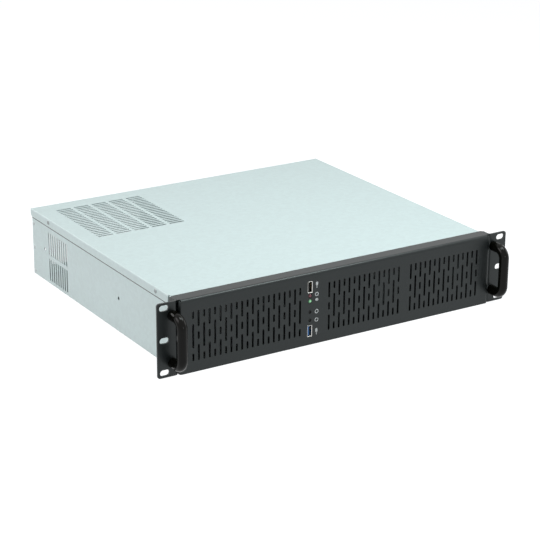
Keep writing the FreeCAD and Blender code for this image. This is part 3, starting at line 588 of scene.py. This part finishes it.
def rivets():
    look = {"sides": 32, "head": 0.7 * mm, "shank": 1.6 * mm, "collar": 0.3 * mm,
            "tail": (0.6 * mm, 1.5 * mm), "tailLength": 0.4 * mm,
            "dome": ((1.0, 0.25), (0.93, 0.6), (0.78, 0.85), (0.6, 1.0)), "pin": 0.36,
            "pinTop": ((1.25, 1.0), (1.1, 0.45), (1.0, 0.4), (1.0, 0.62), (0.7, 0.72))}
    boxes = solidBoxes("rear_panel_rivets")
    low, high = boxes[0]
    radius = (high.z - low.z) / 2
    head = look["head"]
    reach = high.x - low.x - head
    pin = radius * look["pin"]
    profile = [(look["tail"][0], -reach), (look["tail"][1], look["tailLength"] - reach),
               (look["shank"], -look["collar"]), (look["shank"], 0.0), (radius, 0.0)]
    profile += [(radius * wide, head * tall) for wide, tall in look["dome"]]
    profile += [(pin * wide, head * tall) for wide, tall in look["pinTop"]]
    rivet = turned("rivet", profile, look["sides"])
    matrices = []
    for low, high in boxes:
        out = Vector(outwardX(low, high))
        tip = (low + high) / 2 + out * ((high.x - low.x) / 2 - head)
        matrices.append(turnTo(out, tip))
    piece = copiesAt(rivet, matrices, "rear_panel_rivets_made")
    finish(piece, "case", "zinc_screw", rivetMetal, ("rear_panel_rivets",))


rivets()
print("rivets made")


# Handles: a round bar bent twice

def handle(name):
    look = {"bend": 11.0 * mm, "sides": 48, "bendSteps": 16, "smooth": 40}
    low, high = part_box(name)
    radius = (high.x - low.x) / 2
    x = (low.x + high.x) / 2
    footZ, topZ = low.z + radius, high.z - radius
    barY = low.y + radius
    bend = look["bend"]
    clearPick()
    bpy.ops.mesh.primitive_circle_add(vertices=look["sides"], radius=radius, fill_type="NGON",
                                      location=(x, high.y, footZ), rotation=(quarter, 0, 0))
    piece = settle(bpy.context.object)
    startEdit()
    stem = barY + bend - high.y
    pull(0, stem, 0)
    bpy.ops.mesh.spin(steps=look["bendSteps"], angle=quarter, center=(x, barY + bend, footZ + bend),
                      axis=(1, 0, 0))
    pull(0, 0, topZ - footZ - 2 * bend)
    bpy.ops.mesh.spin(steps=look["bendSteps"], angle=quarter, center=(x, barY + bend, topZ - bend),
                      axis=(1, 0, 0))
    pull(0, -stem, 0)
    endEdit(look["smooth"])
    piece.name = name + "_bar"
    finish(piece, "case", "gloss_black_bar", replaced=(name,))


handle("right_handle")
handle("left_handle")
print("handles made")


# Front sockets: a drawn shell with a flared mouth, and a tongue with its contacts

def socketShell(node):
    look = {"wall": 0.35 * mm, "corner": 0.9 * mm, "flare": 0.42 * mm, "flareDepth": 0.7 * mm,
            "flareShares": (0.25, 0.75), "rim": 0.1 * mm, "rimAngle": 50, "window": (1.6 * mm, 4.2 * mm),
            "windowSetback": 4.6 * mm, "windowPlace": 0.22, "leaf": 0.2 * mm, "leafOver": 0.1 * mm,
            "leafHalf": 0.5 * mm, "leafRoot": 0.8 * mm,
            "leafBends": ((0.35 * mm, 1.5 * mm), (-0.15 * mm, 1.0 * mm)), "leafSlant": 0.6}
    low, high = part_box(node)
    middle = (low + high) / 2
    wide, tall = high.x - low.x, high.z - low.z
    shell = plate((middle.x, high.y, middle.z), wide, tall)
    startEdit()
    bpy.ops.mesh.bevel(offset=look["corner"], segments=5, affect="VERTICES")
    pull(0, look["flareDepth"] + low.y - high.y, 0)
    for share in look["flareShares"]:
        pull(0, -look["flareDepth"] / 2, 0)
        grow = 2 * look["flare"] * share
        bpy.ops.transform.resize(value=((wide + grow) / wide, 1, (tall + grow) / tall),
                                 center_override=middle)
        wide, tall = wide + grow, tall + grow
    bpy.ops.mesh.delete(type="FACE")
    endEdit()
    useModifier(shell, "SOLIDIFY", thickness=look["wall"], offset=-1.0, use_even_offset=True)
    corners = [(side, turn) for side in (-1, 1) for turn in (-1, 1)]
    for side, turn in corners:
        place = Vector((middle.x + side * (high.x - low.x) / 2, low.y + look["windowSetback"],
                        middle.z + turn * tall * look["windowPlace"]))
        size = Vector((4 * look["wall"], look["window"][1], look["window"][0])) / 2
        cutWith(shell, block("window", place - size, place + size))
    softenEdges(shell, look["rim"], 1, look["rimAngle"])
    leaves = []
    for side, turn in corners:
        x = middle.x + side * ((high.x - low.x) / 2 - look["wall"] / 2)
        z = middle.z + turn * tall * look["windowPlace"]
        start = low.y + look["windowSetback"] - look["window"][1] / 2 - look["leafOver"]
        leaf = block("leaf", (x - look["leaf"] / 2, start, z - look["leafHalf"]),
                     (x + look["leaf"] / 2, start + look["leafRoot"], z + look["leafHalf"]))
        startEdit()
        for inward, run in look["leafBends"]:
            pickFaces(lambda place, normal: normal.y > look["leafSlant"])
            pull(-side * inward, run, 0)
        endEdit()
        leaves.append(leaf)
    piece = joinPieces([shell] + leaves, node + "_made")
    finish(piece, "case", "plated_shell", replaced=(node,))


def socketTongue(node, slotName, offsets):
    look = {"edge": 0.125 * mm, "inset": 0.22 * mm, "sink": 0.12 * mm,
            "contact": (0.16 * mm, 5.6 * mm, 1.0 * mm), "contactEdge": 0.3, "tip": 0.9 * mm}
    low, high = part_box(node)
    tongue = block(node + "_made", low, high)
    startEdit()
    pickFaces(lambda place, normal: normal.y < -facing)
    bpy.ops.mesh.inset(thickness=look["inset"])
    pull(0, look["sink"], 0)
    endEdit()
    softenEdges(tongue, look["edge"])
    finish(tongue, "case", slotName, replaced=(node,))
    thick, long, tall = look["contact"]
    y = low.y + look["tip"]
    contacts = []
    for offset in offsets:
        z = (low.z + high.z) / 2 + offset
        contacts.append(block("contact", (high.x - thick / 2, y, z - tall / 2),
                              (high.x + thick / 2, y + long, z + tall / 2), thick * look["contactEdge"]))
    finish(joinPieces(contacts, node + "_contacts"), "case", "plated_shell", goldContact)


contactOffsets = (-3.5 * mm, -1.0 * mm, 1.0 * mm, 3.5 * mm)
for node in ("usb2_shell", "usb3_shell"):
    socketShell(node)
socketTongue("usb2_tongue", "black_plastic", contactOffsets)
socketTongue("usb3_tongue", "blue_plastic", contactOffsets)
print("sockets made")


# Lamps: a domed lens with a rim behind the panel, on two bent legs

def bentLeg(place, run, turn, reach, thick, steps):
    leg = plate(place, thick, thick)
    startEdit()
    pull(0, run, 0)
    x, y, z = place
    bpy.ops.mesh.spin(steps=steps, angle=quarter, center=(x + turn, y + run, z), axis=(0, 0, 1))
    pull(reach, 0, 0)
    endEdit()
    return leg


def panelLamp(node, slotName):
    look = {"rim": 1.16, "rimDepth": 1.0 * mm, "domeSteps": 10, "sides": 40, "leg": 0.5 * mm,
            "legGap": 1.27 * mm, "legRun": 0.7 * mm, "legTurn": 0.9 * mm, "legSteps": 6}
    low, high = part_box(node)
    radius = (high.z - low.z) / 2
    x, z = low.x + radius, (low.z + high.z) / 2
    length = high.y - low.y - radius
    profile = [(radius * look["rim"], -length), (radius * look["rim"], look["rimDepth"] - length),
               (radius, look["rimDepth"] - length), (radius, 0.0)]
    for step in range(1, look["domeSteps"]):
        angle = quarter * step / look["domeSteps"]
        profile.append((radius * math.cos(angle), radius * math.sin(angle)))
    lens = turned("lens", profile, look["sides"])
    lens = copiesAt(lens, [turnTo((0, -1, 0), (x, low.y + radius, z))], node + "_lens")
    finish(lens, "case", slotName, replaced=(node,))
    reach = high.x - x - look["legTurn"]
    legs = [bentLeg((x, high.y, z + side * look["legGap"]), look["legRun"], look["legTurn"], reach,
                    look["leg"], look["legSteps"]) for side in (-1, 1)]
    finish(joinPieces(legs, node + "_legs"), "case", "plated_shell")


panelLamp("red_led", "red_lens")
panelLamp("green_led", "green_lens")
print("lamps made")


# Buttons: a dished cap that slides through the panel, and the switch behind it

def buttonCap(node):
    look = {"edge": 0.3 * mm, "rim": ((0.96, 0.4), (0.84, 0.0), (0.74, 0.0)), "dish": 0.28 * mm,
            "hollow": ((0.55, 0.55), (0.3, 0.9), (0.08, 1.0)), "stem": 0.55, "stemTip": 0.9,
            "stemEdge": 0.2 * mm, "head": 2.4 * mm, "sides": 40}
    low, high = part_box(node)
    radius = (high.x - low.x) / 2
    length = high.y - low.y
    stem = radius * look["stem"]
    profile = [(stem * look["stemTip"], -length), (stem, look["stemEdge"] - length), (stem, -look["head"]),
               (radius, -look["head"]), (radius, -look["edge"])]
    profile += [(radius * wide, -look["edge"] * deep) for wide, deep in look["rim"]]
    profile += [(radius * wide, -look["dish"] * deep) for wide, deep in look["hollow"]]
    cap = turned("cap", profile, look["sides"])
    middle = (low + high) / 2
    cap = copiesAt(cap, [turnTo((0, -1, 0), (middle.x, low.y, middle.z))], node + "_cap")
    finish(cap, node, "black_plastic", replaced=(node,))


def tactileSwitch(node):
    look = {"plunger": 1.75 * mm, "plungerRise": 0.8 * mm, "plungerRoot": 0.2 * mm,
            "plungerEdge": 0.15 * mm, "plungerTop": (0.9, 0.5), "plungerSides": 32, "plate": 0.35 * mm,
            "rivet": 0.45 * mm, "rivetSteps": ((1.0, -0.1 * mm), (1.0, 0.02 * mm), (0.6, 0.1 * mm)),
            "rivetSides": 20, "rivetPlace": 0.36, "edge": 0.12 * mm}
    low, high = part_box(node)
    middle = (low + high) / 2
    plateFront = low.y + look["plungerRise"]
    body = block("body", (low.x, plateFront + look["plate"], low.z), high, look["edge"])
    wide = look["plunger"]
    profile = [(wide, -look["plungerRise"] - look["plungerRoot"]), (wide, -look["plungerEdge"])]
    profile += [(wide * share, 0.0) for share in look["plungerTop"]]
    plunger = turned("plunger", profile, look["plungerSides"])
    plunger = copiesAt(plunger, [turnTo((0, -1, 0), (middle.x, low.y, middle.z))], "plunger")
    finish(joinPieces([body, plunger], node + "_body"), "case", "black_plastic", replaced=(node,))
    inset = look["edge"]
    cover = block("cover", (low.x + inset, plateFront, low.z + inset),
                  (high.x - inset, plateFront + look["plate"], high.z - inset), look["edge"] / 2)
    steps = [(look["rivet"] * share, height) for share, height in look["rivetSteps"]]
    rivet = turned("rivet", steps, look["rivetSides"])
    wide, tall = (high.x - low.x) * look["rivetPlace"], (high.z - low.z) * look["rivetPlace"]
    places = [turnTo((0, -1, 0), (middle.x + a * wide, plateFront, middle.z + b * tall))
              for a in (-1, 1) for b in (-1, 1)]
    rivetSet = copiesAt(rivet, places, "rivets")
    finish(joinPieces([cover, rivetSet], node + "_plate"), "case", "plated_shell")


for node in ("power_button", "reset_button"):
    buttonCap(node)
for node in ("power_switch", "reset_switch"):
    tactileSwitch(node)
print("buttons made")


# Printed marks beside the controls: two plain plugs, three rings and a dot

def flatMark(wide, tall, corner, stroke, place, thick, steps):
    mark = plate(place, wide, tall)
    startEdit()
    bpy.ops.mesh.bevel(offset=corner, segments=steps, affect="VERTICES")
    bpy.ops.mesh.select_all(action="SELECT")
    if stroke:
        bpy.ops.mesh.inset(thickness=stroke)
        bpy.ops.mesh.delete(type="FACE")
        bpy.ops.mesh.select_all(action="SELECT")
    pull(0, -thick, 0)
    endEdit()
    return mark


def panelMarks():
    look = {"x": -35.3 * mm, "lift": 0.01 * mm, "thick": 0.05 * mm, "cornerSteps": 8, "round": 0.499,
            "ring": 5.0 * mm, "stroke": 0.85 * mm, "rings": (61.3, 40.2, 29.8), "dot": (4.2 * mm, 3.1 * mm),
            "dotHeight": 54.6, "plugs": (72.4, 15.2), "plugBody": (2.9 * mm, 4.3 * mm),
            "plugCorner": 0.9 * mm, "plugRise": 1.7, "plugLead": (0.9 * mm, 3.4 * mm), "leadRound": 0.45,
            "leadDrop": 2.1}
    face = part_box("front_panel")[0].y + look["lift"]
    marks = []

    def add(wide, tall, corner, stroke, height):
        place = (look["x"], face, height * mm + cadBox[0].z)
        marks.append(flatMark(wide, tall, corner, stroke, place, look["thick"], look["cornerSteps"]))

    for height in look["rings"]:
        add(look["ring"], look["ring"], look["ring"] * look["round"], look["stroke"], height)
    add(*look["dot"], look["dot"][1] * look["round"], 0, look["dotHeight"])
    for height in look["plugs"]:
        add(*look["plugBody"], look["plugCorner"], 0, height + look["plugRise"])
        add(*look["plugLead"], look["plugLead"][0] * look["leadRound"], 0, height - look["leadDrop"])
    finish(joinPieces(marks, "panel_marks"), "case", "black_powder_coat", whitePrint)


panelMarks()
print("marks made")


# Standoffs: chamfered brass hexagons with a threaded bore

def standoffs():
    look = {"foot": 0.9 * mm, "chamfer": 0.45 * mm, "chamferTall": 0.6, "coneOver": 0.02 * mm,
            "coneSides": 48, "bore": 1.3 * mm, "boreDeep": 5.0 * mm, "pitch": 0.5 * mm, "thread": 1.12,
            "mouth": 1.35, "mouthDeep": 0.3 * mm, "mouthOver": 0.05 * mm, "stud": (1.2 * mm, 1.5 * mm),
            "studEdge": 0.2 * mm, "studOver": 0.1 * mm, "sides": 32, "smooth": 25}
    boxes = solidBoxes("board_standoffs")
    low, high = boxes[0]
    top, seat = high.z, low.z + look["foot"]
    corner = (high.y - low.y) / math.sqrt(3)
    clearPick()
    bpy.ops.mesh.primitive_cylinder_add(vertices=6, radius=corner, depth=top - seat,
                                        location=(0, 0, (top + seat) / 2), rotation=(0, 0, math.radians(30)))
    hexagon = settle(bpy.context.object)
    narrow, wide = corner - look["chamfer"], corner + look["coneOver"]
    rise = look["chamfer"] * look["chamferTall"]
    cone = turned("cone", [(narrow, seat), (wide, seat + rise), (wide, top - rise), (narrow, top)],
                  look["coneSides"])
    useModifier(hexagon, "BOOLEAN", operation="INTERSECT", object=cone, solver="EXACT")
    bpy.data.objects.remove(cone)
    bore = look["bore"]
    steps = []
    height = top - look["boreDeep"]
    while height < top - look["mouthDeep"]:
        steps += [(bore, height), (bore * look["thread"], height + look["pitch"] / 2)]
        height += look["pitch"]
    steps += [(bore, top - look["mouthDeep"]), (bore * look["mouth"], top + look["mouthOver"])]
    cutWith(hexagon, turned("bore", steps, look["sides"]))
    tip, shank = look["stud"]
    stud = turned("stud", [(tip, low.z), (shank, low.z + look["studEdge"]), (shank, seat + look["studOver"])],
                  look["sides"])
    standoff = joinPieces([hexagon, stud], "standoff")
    clearPick()
    standoff.select_set(True)
    bpy.context.view_layer.objects.active = standoff
    bpy.ops.object.shade_smooth_by_angle(angle=math.radians(look["smooth"]))
    places = [Matrix.Translation(((a.x + b.x) / 2, (a.y + b.y) / 2, 0)) for a, b in boxes]
    piece = copiesAt(standoff, places, "board_standoffs_made")
    finish(piece, "case", "standoff_brass", replaced=("board_standoffs",))


standoffs()
print("standoffs made")


# Small parts of the front board: a cable header and a row of chip parts

def boardParts():
    look = {"header": (5.6 * mm, 3.4 * mm, 24.0 * mm), "headerSetback": 12.0 * mm, "headerEdge": 0.12 * mm,
            "wall": 0.7 * mm, "pins": 10, "pinPitch": 2.0 * mm, "pin": 0.5 * mm, "pinReach": 0.85,
            "pinEdge": 0.4, "chip": (0.6 * mm, 1.0 * mm, 2.0 * mm), "chips": 5, "chipPitch": 4.0 * mm,
            "chipSetback": 5.0 * mm, "chipEdge": 0.08 * mm}
    low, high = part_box("io_board")
    deep, wide, tall = look["header"]
    y = low.y + look["headerSetback"]
    z = (low.z + high.z) / 2
    outer = ((low.x - deep, y - wide / 2, z - tall / 2), (low.x, y + wide / 2, z + tall / 2))
    header = block("header", *outer)
    wall = look["wall"]
    cutWith(header, block("hollow", (outer[0][0] - wall, outer[0][1] + wall, outer[0][2] + wall),
                          (low.x - wall, outer[1][1] - wall, outer[1][2] - wall)))
    softenEdges(header, look["headerEdge"], 1)
    chipParts = []
    size = Vector(look["chip"])
    for index in range(look["chips"]):
        chipZ = z + (index - (look["chips"] - 1) / 2) * look["chipPitch"]
        corner = Vector((low.x - size.x, y + look["chipSetback"], chipZ - size.z / 2))
        chipParts.append(block("chip", corner, corner + size, look["chipEdge"]))
    finish(joinPieces([header] + chipParts, "io_board_parts"), "case", "black_plastic")
    pins = []
    half = look["pin"] / 2
    for index in range(look["pins"]):
        pinZ = z + (index - (look["pins"] - 1) / 2) * look["pinPitch"]
        pins.append(block("pin", (low.x - deep * look["pinReach"], y - half, pinZ - half),
                          (low.x - wall / 2, y + half, pinZ + half), half * look["pinEdge"], 1))
    finish(joinPieces(pins, "io_board_pins"), "case", "plated_shell", goldContact)


boardParts()
print("board parts made")


# Camera, lights and floor

def setCamera():
    look = {"place": (-1.096, -1.599, 0.747), "yaw": 32.0, "pitch": -20.1, "roll": 0.34, "lens": 119.5,
            "sensor": 36.0, "near": 0.05}
    data = bpy.data.cameras.new("camera")
    data.lens = look["lens"]
    data.sensor_width = look["sensor"]
    data.clip_start = look["near"]
    camera = bpy.data.objects.new("camera", data)
    bpy.context.scene.collection.objects.link(camera)
    turn = Matrix.Rotation(math.radians(-look["yaw"]), 4, "Z")
    turn = turn @ Matrix.Rotation(quarter + math.radians(look["pitch"]), 4, "X")
    turn = turn @ Matrix.Rotation(math.radians(look["roll"]), 4, "Z")
    camera.matrix_world = Matrix.Translation(look["place"]) @ turn
    bpy.context.scene.camera = camera


def addLamp(name, place, target, size, power, colour):
    data = bpy.data.lights.new(name, "AREA")
    data.shape = "RECTANGLE"
    data.size, data.size_y = size
    data.energy = power
    data.color = colour
    lamp = bpy.data.objects.new(name, data)
    bpy.context.scene.collection.objects.link(lamp)
    lamp.location = place
    lamp.rotation_mode = "QUATERNION"
    lamp.rotation_quaternion = (Vector(target) - Vector(place)).to_track_quat("-Z", "Y")


def seenRays(tree):  # 1 where the eye, a mirror or a lens meets the surroundings
    path = addNode(tree, "ShaderNodeLightPath")
    share = path.outputs["Is Camera Ray"]
    for label in ("Is Glossy Ray", "Is Transmission Ray"):
        either = addNode(tree, "ShaderNodeMath", operation="MAXIMUM")
        tree.links.new(share, either.inputs[0])
        tree.links.new(path.outputs[label], either.inputs[1])
        share = either.outputs[0]
    return share


def setLights():
    look = {"worldStrength": 0.04, "worldColour": (0.98, 0.99, 1.0)}
    lamps = {
        "rightTopLamp": {"place": (0.42, -0.10, 0.95), "target": (0.2, 0.0, 0), "size": (0.36, 0.28),
                         "power": 4.1, "colour": (0.91, 1.0, 1.0)},
        "leftTopLamp": {"place": (-0.10, -0.06, 0.97), "target": (-0.1, 0.02, 0), "size": (0.30, 0.25),
                        "power": 3.3, "colour": (0.91, 1.0, 1.0)},
        "leftLamp": {"place": (-1.75, 0.40, 1.30), "target": (0, 0.15, 0), "size": (1.2, 1.0),
                     "power": 15.5, "colour": (1.0, 0.955, 0.95)},
        "frontLamp": {"place": (-0.10, -1.90, 0.50), "target": (0.0, 0.0, 0.05), "size": (0.22, 0.22),
                      "power": 1.6, "colour": (1.0, 1.0, 1.0)},
        "backLamp": {"place": (-0.90, 1.90, 0.80), "target": (0.0, 0.3, 0), "size": (1.2, 0.9),
                     "power": 8.0, "colour": (1.0, 1.0, 1.0)},
        "rightLamp": {"place": (2.00, -0.20, 0.80), "target": (0.0, 0.15, 0), "size": (1.2, 1.0),
                      "power": 6.0, "colour": (1.0, 1.0, 1.0)},
    }
    for name, values in lamps.items():
        addLamp(name, **values)
    world = bpy.data.worlds.new("studio")
    world.use_nodes = True
    tree = world.node_tree
    tree.nodes.clear()
    out = addNode(tree, "ShaderNodeOutputWorld")
    soft = addNode(tree, "ShaderNodeBackground",
                   {"Color": (*look["worldColour"], 1), "Strength": look["worldStrength"]})
    white = addNode(tree, "ShaderNodeBackground", {"Color": (1, 1, 1, 1), "Strength": 1.0})
    mix = addNode(tree, "ShaderNodeMixShader")
    tree.links.new(seenRays(tree), mix.inputs[0])
    tree.links.new(soft.outputs[0], mix.inputs[1])
    tree.links.new(white.outputs[0], mix.inputs[2])
    tree.links.new(mix.outputs[0], out.inputs["Surface"])
    bpy.context.scene.world = world


def setFloor():
    look = {"size": 14.0, "plain": (0.82, 0.83, 0.84), "shade": (0.24, 0.24, 0.24),
            "glowColour": (0.985, 0.99, 1.0), "glow": 0.96}
    clearPick()
    bpy.ops.mesh.primitive_plane_add(size=look["size"], location=(0, 0, cadBox[0].z))
    floor = settle(bpy.context.object)
    floor.name = "floor"
    material = bpy.data.materials.new("paleFloor")
    material.use_nodes = True
    tree = material.node_tree
    tree.nodes.clear()
    out = addNode(tree, "ShaderNodeOutputMaterial")
    plain = addNode(tree, "ShaderNodeBsdfDiffuse", {"Color": (*look["plain"], 1)})
    seenShade = addNode(tree, "ShaderNodeBsdfDiffuse", {"Color": (*look["shade"], 1)})
    seenGlow = addNode(tree, "ShaderNodeEmission",
                       {"Color": (*look["glowColour"], 1), "Strength": look["glow"]})
    seen = addNode(tree, "ShaderNodeAddShader")
    tree.links.new(seenShade.outputs[0], seen.inputs[0])
    tree.links.new(seenGlow.outputs[0], seen.inputs[1])
    mix = addNode(tree, "ShaderNodeMixShader")
    tree.links.new(seenRays(tree), mix.inputs[0])
    tree.links.new(plain.outputs[0], mix.inputs[1])
    tree.links.new(seen.outputs[0], mix.inputs[2])
    tree.links.new(mix.outputs[0], out.inputs["Surface"])
    floor.data.materials.append(material)


setCamera()
setLights()
setFloor()
bpy.context.scene.view_settings.view_transform = "Standard"
print("stage set")

bpy.context.view_layer.update()
